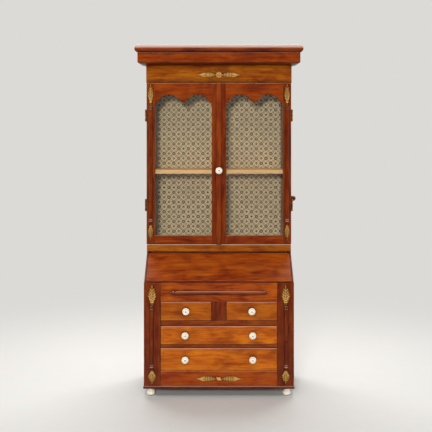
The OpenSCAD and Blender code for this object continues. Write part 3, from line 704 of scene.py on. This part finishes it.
class CASE_OT_half_columns(bpy.types.Operator):
    """Turn and split the half columns of the posts and the doors"""

    bl_idname = "thimble_case.half_columns"
    bl_label = "Half columns"

    def execute(self, context):
        wood = polished_mahogany(
            "Turned dark mahogany", "Z", context.scene.case_woods.post, 31, gloss=0.24
        )
        for name, body in (
            ("post_columns", "case"),
            ("left_door_column", "left_door"),
            ("right_door_column", "right_door"),
        ):
            low, high = box_of(name)
            radius = high.y - low.y
            both = high.x - low.x > 4 * radius
            places = (low.x + radius, high.x - radius) if both else ((low.x + high.x) / 2,)
            made = []
            for x in places:
                outline = column_outline(radius / MM, (high.z - low.z) / MM)
                turn_profile(outline, (x, high.y, low.z), (0, 0, 1), (1, 0, 0), math.pi, 24)
                made.append(settle(name + "_turned", wood, None))
            claim(join_pieces(made, name + "_turned"), body, (name,))
        return {"FINISHED"}


# Spindle outline as (share of the radius, distance from its end), in millimetres
SPINDLE_END = (
    (0, 0), (0.28, 1.6), (0.55, 4.0), (0.9, 4.7), (1.0, 5.2), (1.0, 6.2), (0.9, 6.7),
    (0.62, 7.0), (0.66, 7.8), (0.86, 9.4), (0.9, 14),
)


class CASE_OT_split_spindle(bpy.types.Operator):
    """Turn and split the spindle on the rail under the fall front"""

    bl_idname = "thimble_case.split_spindle"
    bl_label = "Split spindle"

    def execute(self, context):
        wood = polished_mahogany(
            "Turned red mahogany", "X", context.scene.case_woods.case, 37, bleached=0.6
        )
        low, high = box_of("split_spindle")
        radius = (high.y - low.y) / MM
        length = (high.x - low.x) / MM
        left = [(r * radius, h) for r, h in SPINDLE_END]
        right = [(r, length - h) for r, h in reversed(left)]
        outline = left + [(0.92 * radius, length / 2)] + right
        start_at = (low.x, high.y, (low.z + high.z) / 2)
        turn_profile(outline, start_at, (1, 0, 0), (0, 0, -1), math.pi, 20)
        settle("split_spindle_turned", wood, "case", ("split_spindle",))
        return {"FINISHED"}


class CASE_OT_astragal(bpy.types.Operator):
    """Plane the astragal, whose thin edge closes the meeting line of the doors"""

    bl_idname = "thimble_case.astragal"
    bl_label = "Astragal"

    def execute(self, context):
        case = context.scene.case_woods.case
        wood = polished_mahogany("Polished mahogany, astragal", "Z", case, 38)
        low, high = box_of("astragal")
        # The running gap is 0.3 mm wide, and the left door has to swing past the edge
        low.x -= 0.25 * MM
        half, rise = (high.x - low.x) / 2, high.y - low.y
        radius = (half**2 + rise**2) / (2 * rise)
        middle = (low + high) / 2
        start()
        place = (middle.x, low.y + radius, middle.z)
        bpy.ops.mesh.primitive_cylinder_add(
            vertices=128, radius=radius, depth=high.z - low.z, location=place
        )
        bpy.ops.object.transform_apply(location=True)
        edit_all()
        bpy.ops.mesh.bisect(plane_co=high, plane_no=(0, 1, 0), use_fill=True, clear_outer=True)
        settle("astragal_planed", wood, "right_door", ("astragal",))
        return {"FINISHED"}


# ---------------- carving


def add_lump(place, size, turn=0.0):
    """Adds a rounded lump of half sizes size at place, turned about Y, all in millimetres."""
    bpy.ops.mesh.select_all(action="DESELECT")
    bpy.ops.mesh.primitive_uv_sphere_add(segments=24, ring_count=14, radius=MM)
    bpy.ops.transform.resize(value=size, center_override=ORIGIN)
    if turn:
        bpy.ops.transform.rotate(value=turn, orient_axis="Y", center_override=ORIGIN)
    bpy.ops.transform.translate(value=Vector(place) * MM)


def carve(name, grit):
    """Melts the lumps of the piece in hand into one carved skin with a flat back, in steps of
    grit, and stores how high each point stands on it, from 0 at the ground to 1 at the crest."""
    bpy.ops.object.mode_set(mode="OBJECT")
    piece = bpy.context.object
    melt = piece.modifiers.new("Melt", "REMESH")
    melt.mode = "VOXEL"
    melt.voxel_size = grit * MM
    bpy.ops.object.modifier_apply(modifier=melt.name)
    ease = piece.modifiers.new("Ease", "SMOOTH")
    ease.iterations = 2
    bpy.ops.object.modifier_apply(modifier=ease.name)
    edit_all()
    bpy.ops.mesh.bisect(plane_co=ORIGIN, plane_no=(0, 1, 0), use_fill=True, clear_outer=True)
    bpy.ops.object.mode_set(mode="OBJECT")
    crest = max(-vertex.co.y for vertex in piece.data.vertices)
    relief = piece.data.attributes.new("relief", "FLOAT", "POINT")
    for vertex, value in zip(piece.data.vertices, relief.data):
        value.value = -vertex.co.y / crest
    bpy.ops.object.shade_smooth()
    return rename(piece, name)


def begin_carving(place, size):
    """Starts a carving with its first lump, in edit mode."""
    start()
    bpy.ops.mesh.primitive_uv_sphere_add(segments=32, ring_count=18, radius=MM)
    edit_all()
    bpy.ops.transform.resize(value=size, center_override=ORIGIN)
    bpy.ops.transform.translate(value=Vector(place) * MM)


# The carved leaf is modelled once at this length, width and relief, and scaled to its places
LEAF_SIZE = Vector((9.6, 2.4, 24.0))


def lens(share, fullest=0.42):
    """Half width of a pointed leaf at a share of its length, as a share of the greatest."""
    rise = share / fullest if share < fullest else (1 - share) / (1 - fullest)
    return 0.16 + 0.84 * max(0, rise) ** 0.8


def carved_leaf(name, lobes):
    """A leaf that grows up from the origin: two curled tails at the foot, and pairs of lobes with
    cuts between them lapping up a raised midrib to a point."""
    wide, out, long = LEAF_SIZE
    begin_carving((0, 0, long * 0.46), (wide * 0.27, out * 0.34, long * 0.36))
    for pair in range(lobes):
        share = pair / (lobes - 1)
        half = wide / 2 * lens(0.14 + 0.66 * share)
        lean = math.radians(56 - 22 * share)
        reach = half * 0.62 + 0.5
        size = (0.8 + 0.09 * half, out * (0.86 - 0.2 * share), reach)
        for side in (-1, 1):
            x = side * (half - reach * math.sin(lean) * 0.9)
            add_lump((x, 0, long * (0.18 + 0.58 * share)), size, TURN * side * lean)
    for side in (-1, 1):
        add_lump((side * 0.8, 0, long * 0.07), (0.55, out * 0.5, long * 0.07), TURN * side * 0.3)
    add_lump((0, 0, long * 0.88), (0.8, out * 0.6, long * 0.12))
    add_lump((0, -out * 0.3, long * 0.5), (0.5, out * 0.68, long * 0.38))
    return carve(name, 0.2)


def carved_bud(name, rings):
    """A bud that grows up from the origin: rings round its foot, and three long petals that close
    over them in a point."""
    wide, out, long = LEAF_SIZE
    begin_carving((0, 0, long * 0.44), (wide * 0.34, out * 0.5, long * 0.42))
    for ring in range(rings):
        share = 0.04 + 0.42 * ring / (rings - 1)
        half = wide / 2 * lens(share, 0.32)
        add_lump((0, 0, long * share), (half, out * 0.95, long * 0.027))
    for side in (-1, 1):
        place = (side * wide * 0.2, 0, long * 0.66)
        add_lump(place, (0.95, out * 0.78, long * 0.2), TURN * side * -0.16)
    add_lump((0, -out * 0.1, long * 0.74), (1.0, out * 0.86, long * 0.26))
    add_lump((0, 0, long * 0.93), (0.9, out * 0.7, long * 0.07))
    return carve(name, 0.2)


# transform.rotate run with no window turns the other way about Y
TURN = -1


def carved_rosette(name, petals, width):
    """A rosette of round petals about a sunk ring and a boss, centred on the origin."""
    size = width / 2
    begin_carving((0, 0, 0), (size * 0.42, 1.1, size * 0.42))
    for petal in range(petals):
        angle = math.tau * petal / petals
        place = (math.sin(angle) * size * 0.66, -0.25, math.cos(angle) * size * 0.66)
        add_lump(place, (size * 0.27, 1.15, size * 0.33), TURN * angle)
    add_lump((0, -0.5, 0), (size * 0.2, 1.0, size * 0.2))
    return carve(name, 0.16)


def carved_knot(name, width):
    """A tied band: three slanting folds side by side, centred on the origin."""
    size = width / 2
    begin_carving((0, 0, 0), (size * 0.7, 0.9, size * 0.45))
    for shift in (-0.42, 0, 0.42):
        place = (shift * size, -0.3, 0)
        add_lump(place, (size * 0.24, 1.2, size * 0.72), TURN * math.radians(-32))
    return carve(name, 0.16)


def place_carving(model, name, base, length, width, out, turn):
    """A copy of a leaf or bud, scaled to a size in metres, turned about Y and set on its base."""
    wide, deep, long = LEAF_SIZE * MM
    return copy_piece(model, name, base, (width / wide, out / deep, length / long), TURN * turn)


class CASE_OT_carved_leaves(bpy.types.Operator):
    """Carve and gild the leaves on the posts and the doors"""

    bl_idname = "thimble_case.carved_leaves"
    bl_label = "Carved leaves"

    def execute(self, context):
        trim = context.scene.case_trim
        gold = rubbed_gilding("Rubbed gilding", trim.gilt, "#3c1a0a")
        amber = rubbed_gilding("Rubbed gilding, worn amber", linear("#c98424"), "#7a3c0c")
        model = carved_leaf("leaf_model", trim.lobes)
        for name, (body, lengths, tips, width) in LEAVES.items():
            low, high = box_of(name)
            wide, out = width * MM, high.y - low.y
            both = high.x - low.x > 4 * wide
            xs = (low.x + wide / 2, high.x - wide / 2) if both else ((low.x + high.x) / 2,)
            long, short = (length * MM for length in lengths)
            above, below = (tip * MM for tip in tips)
            made = []
            for x in xs:
                base = (x, high.y, high.z + above - long)
                top = place_carving(model, name + "_top", base, long, wide, out, 0)
                give(top, gold)
                base = (x, high.y, low.z + short - below)
                slim = wide * 0.96
                foot = place_carving(model, name + "_foot", base, short, slim, out, math.pi)
                give(foot, gold if both else amber)
                made += [top, foot]
            claim(join_pieces(made, name + "_carved"), body, (name,))
        bpy.data.objects.remove(model)
        return {"FINISHED"}


# Body; lengths of the top and the foot leaf; how far their carved tips reach past the plain lens
# of the CAD node; and width, in millimetres
LEAVES = {
    "post_leaves": ("case", (24, 16.4), (3.4, 1.9), 9.6),
    "left_door_leaves": ("left_door", (27, 20.6), (2.2, 1.7), 6.4),
    "right_door_leaves": ("right_door", (27, 20.6), (2.2, 1.7), 6.4),
}


class CASE_OT_rosettes(bpy.types.Operator):
    """Carve and gild the groups on the frieze and on the bottom rail"""

    bl_idname = "thimble_case.rosettes"
    bl_label = "Rosette groups"

    def execute(self, context):
        trim = context.scene.case_trim
        gold = rubbed_gilding("Rubbed gilding of the groups", trim.gilt, "#42200c")
        leaf = carved_bud("bud_model", trim.lobes)
        low, high = box_of("rosette_ornaments")
        frieze_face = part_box("frieze_board")[0][1]
        rail_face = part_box("bottom_rail")[0][1]
        half_bud = BUD_WIDTH / 2 * MM
        length = (high.x - low.x) / 2 + (BUD_TIP - BUD_FOOT) * MM
        made = []
        for centre_z, face, middle in (
            (high.z - half_bud, frieze_face, carved_rosette("rosette", 8, 7.9)),
            (low.z + half_bud, rail_face, carved_knot("knot", 7.4)),
        ):
            take(middle)
            edit_all()
            bpy.ops.transform.translate(value=(0, face, centre_z))
            bpy.ops.object.mode_set(mode="OBJECT")
            made.append(middle)
            for side in (-1, 1):
                base = (side * BUD_FOOT * MM, face, centre_z)
                size = (length, 2 * half_bud, BUD_OUT * MM)
                made.append(place_carving(leaf, "bud", base, *size, side * math.pi / 2))
        for piece in made:
            give(piece, gold)
        group = join_pieces(made, "rosette_groups_carved")
        claim(group, "case", ("rosette_ornaments",))
        bpy.data.objects.remove(leaf)
        return {"FINISHED"}


# Width and relief of a bud, distance from the middle of a group to the foot of its buds, and how
# far their tips reach past the plain lens of the CAD node, in millimetres
BUD_WIDTH = 8.6
BUD_OUT = 1.9
BUD_FOOT = 3.9
BUD_TIP = 2.6


# ---------------- small iron


class CASE_OT_drawer_pins(bpy.types.Operator):
    """Drive the iron pins that hold the drawer fronts to their sides"""

    bl_idname = "thimble_case.drawer_pins"
    bl_label = "Drawer pins"

    def execute(self, context):
        iron = nail_iron("Cut iron pins")
        start()
        radius, depth = PIN_RADIUS * MM, PIN_DEPTH * MM
        bpy.ops.mesh.primitive_cylinder_add(vertices=10, radius=radius, depth=depth)
        edit_all()
        bpy.ops.transform.rotate(value=math.pi / 2, orient_axis="X", center_override=ORIGIN)
        # Hammering has rounded the edge of the struck end
        bpy.ops.mesh.select_all(action="DESELECT")
        bpy.ops.mesh.select_mode(type="VERT")
        bpy.ops.object.mode_set(mode="OBJECT")
        for vertex in bpy.context.object.data.vertices:
            vertex.select = vertex.co.y < 0
        bpy.ops.object.mode_set(mode="EDIT")
        bpy.ops.mesh.bevel(offset=0.12 * MM, segments=2)
        model = settle("pin_model", iron, None)
        for body in ("upper_drawer", "lower_drawer"):
            name = body + "_front"
            low, high = box_of(name)
            tall = high.z - low.z
            made = []
            for x in (low.x + PIN_INSETS[0] * MM, high.x - PIN_INSETS[1] * MM):
                for share in PIN_HEIGHTS:
                    place = (x, low.y + 0.2 * MM, low.z + share * tall)
                    made.append(copy_piece(model, name + "_pins", place))
            claim(join_pieces(made, name + "_pins"), body)
        bpy.data.objects.remove(model)
        return {"FINISHED"}


# Radius and depth of a pin's end and its distances from the left and right end of the front, in
# millimetres, and the heights of the two pins as shares of the front's
PIN_RADIUS = 0.55
PIN_DEPTH = 0.5
PIN_INSETS = (3.0, 3.2)
PIN_HEIGHTS = (0.24, 0.76)


# ---------------- finishes of the CAD nodes


def polish(nodes, *look, **more):
    """Gives CAD nodes, named in one line, a mahogany of their own."""
    dress(polished_mahogany(*look, **more), *nodes.split())


class CASE_OT_woods(bpy.types.Operator):
    """Polish the boards, posts, doors and drawer fronts"""

    bl_idname = "thimble_case.woods"
    bl_label = "Woods"

    def execute(self, context):
        wood = context.scene.case_woods
        case, lid, front = wood.case, wood.lid, wood.front
        rails = polished_mahogany("Polished mahogany, rails", "X", case, 1)
        dress(rails, *"left_door_rails right_door_rails cornice_band bookcase_boards".split())
        dress(rails, *"desk_bottom dustboards desk_floor lid_stop".split())
        polish("bottom_rail", "Polished mahogany, desk rails", "X", lid, 11)
        # The drawer rails are laid darker than the fall front: painted shade between the drawers
        look = ("Dark mahogany, drawer rails", "X", shade(lid, 0.7), 14)
        polish("drawer_rails", *look, bleached=0.9, grimy=0.1)
        look = ("Polished mahogany, base moulding", "X", wood.post, 12)
        polish("base_moulding", *look, bleached=0.6)
        stiles = "left_door_stiles right_door_stiles"
        look = ("Polished mahogany, uprights", "Z", shade(case, 0.85), 2)
        polish(stiles + " bookcase_sides bookcase_back desk_back", *look)
        # A broad painted highlight on the cap's rounded top
        polish("cornice_cap", "Bleached mahogany, cornice cap", "X", case, 10, bleached=0.05)
        polish("drawer_guides shelf_cleats", "Polished mahogany, runners", "Y", case, 3)
        look = ("Dark mahogany, posts", "Z", wood.post, 4)
        polish("corner_posts desk_sides centre_divider side_peg", *look, bleached=0.9)
        look = ("Streaked mahogany, fall front", "X", lid, 5, 1.0)
        polish("lid top_rail", *look, bleached=0.88)
        polish("frieze_board waist_board", "Golden mahogany", "X", wood.gold, 6)
        look = ("Orange mahogany, drawer fronts", "X", front, 7, 0.55)
        polish("upper_drawer_front lower_drawer_front", *look, grimy=0.1)
        look = ("Orange mahogany, small fronts", "X", shade(front, 0.8), 13, 0.55)
        polish("small_left_front small_right_front", *look, grimy=0.1)
        pale = tint(wood.raw, 1.09, 0.98, 0.8)
        dress(raw_limewood("Raw limewood, shelf", "X", pale, 8), "shelf")
        boxes = raw_limewood("Raw limewood, drawer boxes", "Y", wood.raw, 9)
        dress(boxes, "small_left_box", "small_right_box")
        dress(boxes, "upper_drawer_box", "lower_drawer_box")
        return {"FINISHED"}


class CASE_OT_fittings(bpy.types.Operator):
    """Finish the hinges, the pins, the glass and the lining paper"""

    bl_idname = "thimble_case.fittings"
    bl_label = "Brass, glass and paper"

    def execute(self, context):
        brass = aged_brass("Aged brass")
        dress(brass, "lid_pins", "case_hinge_leaves", "left_door_hinges", "right_door_hinges")
        dress(drawn_glass("Drawn sheet glass"), "left_door_glass", "right_door_glass")
        dress(printed_paper("Block-printed paper"), "lining_paper")
        return {"FINISHED"}


# ---------------- stage


class CASE_OT_stage(bpy.types.Operator):
    """Lay the floor and set the lamps and the camera"""

    bl_idname = "thimble_case.stage"
    bl_label = "Stage"

    def execute(self, context):
        stage = context.scene.case_stage
        start()
        bpy.ops.mesh.primitive_circle_add(vertices=64, radius=6, fill_type="NGON")
        floor = bpy.context.object
        floor.name = "floor"
        floor.data.materials.append(matt_floor("Matt painted floor", stage.floor))
        open_sky(stage.floor)
        for name, place, target, (across, deep), power in LAMPS:
            lamp = bpy.data.lights.new(name, "AREA")
            lamp.shape = "RECTANGLE"
            lamp.size = across
            lamp.size_y = deep
            lamp.energy = power
            holder = bpy.data.objects.new(name, lamp)
            context.scene.collection.objects.link(holder)
            # The key stands beside the camera and would show in the panes as a white square,
            # and any lamp would show through the pane of an open door
            holder.visible_glossy = name != "key lamp"
            holder.visible_transmission = False
            holder.location = place
            aim = Vector(target) - Vector(place)
            holder.rotation_euler = aim.to_track_quat("-Z", "Y").to_euler()
        set_camera(context.scene, stage)
        context.scene.view_settings.view_transform = "Standard"
        return {"FINISHED"}


# Name, place, aim, size in metres (across, deep) and power in watts of each lamp
LAMPS = (
    ("key lamp", (-0.18, -1.5, 0.56), (0, 0, 0.2), (0.2, 0.2), 14.5),
    ("front top lamp", (-0.1, -0.75, 1.15), (0, 0, 0.15), (0.9, 0.35), 4),
    ("back top lamp", (0, 0.5, 0.95), (0, 0, 0.4), (1.2, 0.5), 12),
    ("left lamp", (-0.95, -0.05, 0.4), (0, 0, 0.25), (0.25, 0.7), 1.5),
    ("right lamp", (0.95, -0.05, 0.4), (0, 0, 0.25), (0.25, 0.7), 1.5),
)


def matt_floor(name, colour):
    """Plain matt paint. Round the case it shows light and shadow; farther off it shows its own
    colour, so that floor and background are one."""
    material, tree = blank(name)
    place = placed(tree)
    tooth = noise(tree, place, 60.0, 2.0)["Fac"]
    tone = ramp(tree, tooth, (0.3, shade(colour, 0.985)), (0.7, shade(colour, 1.0)))
    skin = node(tree, "BsdfPrincipled", {"Base Color": tone, "Roughness": 0.8}).outputs["BSDF"]
    # Seen in the polish, the floor in front is as dim as a studio's
    depth = node(tree, "SeparateXYZ", {"Vector": place}).outputs["Y"]
    front = spread(tree, depth, 0.2, -0.3, 0.0, 0.9)
    straight, mirrored, through = sight(tree)
    dimmed = number(tree, "SUBTRACT", 1.0, product(tree, front, mirrored))
    inputs = {"Color": rgba(colour), "Strength": dimmed}
    plain = node(tree, "Emission", inputs).outputs["Emission"]
    away = vector(tree, "LENGTH", place)
    far = spread(tree, away, 0.12, 0.6, 0.0, 1.0, "SMOOTHSTEP")
    share = product(tree, far, greatest(tree, straight, mirrored, through))
    finish_with(tree, node(tree, "MixShader", {"Fac": share, 1: skin, 2: plain}).outputs[0])
    return material


def sight(tree):
    """Three numbers of 1 or 0: whether a ray looks straight at a thing, in a mirror or through
    glass. Light that falls on matt things is none of these, also where it comes through a pane."""
    path = node(tree, "LightPath")
    glass = path.outputs["Is Transmission Ray"]
    opaque = number(tree, "SUBTRACT", 1.0, glass)
    mirrored = product(tree, path.outputs["Is Glossy Ray"], opaque)
    first = number(tree, "LESS_THAN", path.outputs["Diffuse Depth"], 0.5)
    return path.outputs["Is Camera Ray"], mirrored, product(tree, glass, first)


def greatest(tree, first, *others):
    """The greatest of some numbers."""
    for other in others:
        first = number(tree, "MAXIMUM", first, other)
    return first


def open_sky(colour):
    """Even light from all round. The background has the floor's colour, also where metal and
    glass mirror it; the room behind the camera is dim, as a studio is."""
    world = bpy.data.worlds.new("Even light")
    bpy.context.scene.world = world
    world.use_nodes = True
    tree = world.node_tree
    tree.nodes.clear()
    straight, mirrored, through = sight(tree)
    strength = spread(tree, mirrored, 0.0, 1.0, 0.14, 0.08)
    lit = node(tree, "Background", {"Color": (1.0, 0.98, 0.95, 1), "Strength": strength})
    shown = node(tree, "Background", {"Color": rgba(colour), "Strength": 1.0})
    ray = node(tree, "TexCoord").outputs["Generated"]
    back = node(tree, "SeparateXYZ", {"Vector": ray}).outputs["Y"]
    behind = spread(tree, back, -0.3, 0.2, 0.0, 1.0)
    looking = greatest(tree, product(tree, mirrored, behind), straight, through)
    inputs = {"Fac": looking, 1: lit.outputs["Background"], 2: shown.outputs["Background"]}
    both = node(tree, "MixShader", inputs)
    node(tree, "OutputWorld", {"Surface": both.outputs["Shader"]})


# The photograph is 432 pixels square. A level camera sees the case with its middle at column
# 218.9 and the horizon at row 115, at 889 pixels of focal length.
FRAME_PX = 432
MIDDLE_PX = 218.9
HORIZON_PX = 115
FOCAL_PX = 889.3


def set_camera(scene, stage):
    """A level camera in front of the case, shifted to frame it as the photograph does."""
    optics = bpy.data.cameras.new("camera")
    optics.sensor_width = 36
    optics.lens = FOCAL_PX / FRAME_PX * optics.sensor_width
    optics.shift_x = (FRAME_PX / 2 - MIDDLE_PX) / FRAME_PX
    optics.shift_y = (HORIZON_PX - FRAME_PX / 2) / FRAME_PX
    camera = bpy.data.objects.new("camera", optics)
    scene.collection.objects.link(camera)
    post_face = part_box("corner_posts")[0][1]
    camera.location = (0, post_face - stage.distance, stage.eye)
    camera.rotation_euler = (math.pi / 2, 0, 0)
    scene.camera = camera


# ---------------- add-on


class CASE_PT_panel(bpy.types.Panel):
    """Lists the steps and their settings"""

    bl_idname = "CASE_PT_panel"
    bl_label = "Thimble case"
    bl_space_type = "VIEW_3D"
    bl_region_type = "UI"
    bl_category = "Thimble case"

    def draw(self, context):
        for step in STEPS:
            self.layout.operator(step.bl_idname)
        for group in SETTINGS:
            box = self.layout.box()
            for key in SETTINGS[group].__annotations__:
                box.prop(getattr(context.scene, group), key)


SETTINGS = {
    "case_woods": WoodSettings,
    "case_trim": TrimSettings,
    "case_stage": StageSettings,
}
STEPS = (
    CASE_OT_woods,
    CASE_OT_fittings,
    CASE_OT_bone_knobs,
    CASE_OT_bone_feet,
    CASE_OT_half_columns,
    CASE_OT_split_spindle,
    CASE_OT_astragal,
    CASE_OT_carved_leaves,
    CASE_OT_rosettes,
    CASE_OT_drawer_pins,
    CASE_OT_stage,
)


def register():
    """Adds the settings, the steps and the panel."""
    for kind in (*SETTINGS.values(), *STEPS, CASE_PT_panel):
        bpy.utils.register_class(kind)
    for group, kind in SETTINGS.items():
        setattr(bpy.types.Scene, group, PointerProperty(type=kind))


def unregister():
    """Takes them away again."""
    for group in SETTINGS:
        delattr(bpy.types.Scene, group)
    for kind in (CASE_PT_panel, *reversed(STEPS), *SETTINGS.values()):
        bpy.utils.unregister_class(kind)


def main():
    """Runs every step."""
    register()
    for step in STEPS:
        group, action = step.bl_idname.split(".")
        getattr(getattr(bpy.ops, group), action)()
    start()


if __name__ == "__main__":
    main()
